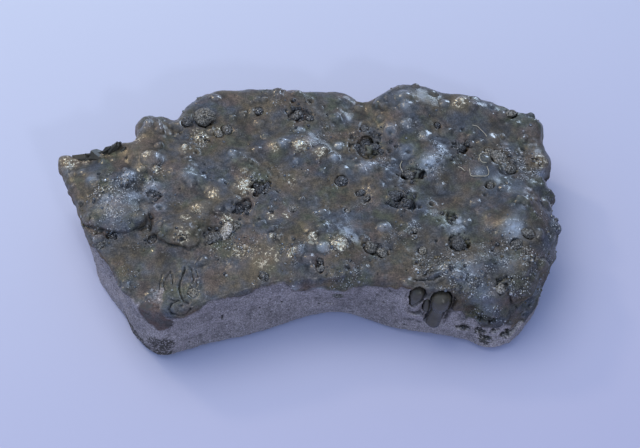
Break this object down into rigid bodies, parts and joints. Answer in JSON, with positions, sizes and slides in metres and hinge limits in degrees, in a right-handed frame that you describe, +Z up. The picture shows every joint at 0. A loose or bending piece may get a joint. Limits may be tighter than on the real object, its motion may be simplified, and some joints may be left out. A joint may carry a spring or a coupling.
{
  "type": "ferrosilicon lump",
  "caption": "Flat slab-like lump of cast ferrosilicon with a blistered free surface, fractured sides and a flat underside, for feeding a furnace or ladle.",
  "frame": {"origin": "on the floor, under the middle of the slab's bounding box", "axes": "+X along the slab, +Y to its back, +Z up through the blistered free surface"},
  "size_m": [0.094, 0.0524, 0.0191],
  "materials": {
    "alloy": "dark blistered oxide skin on top, light grey grainy fracture on the sides"
  },
  "bodies": {
    "root": {"lump": "alloy"}
  },
  "joints": []
}
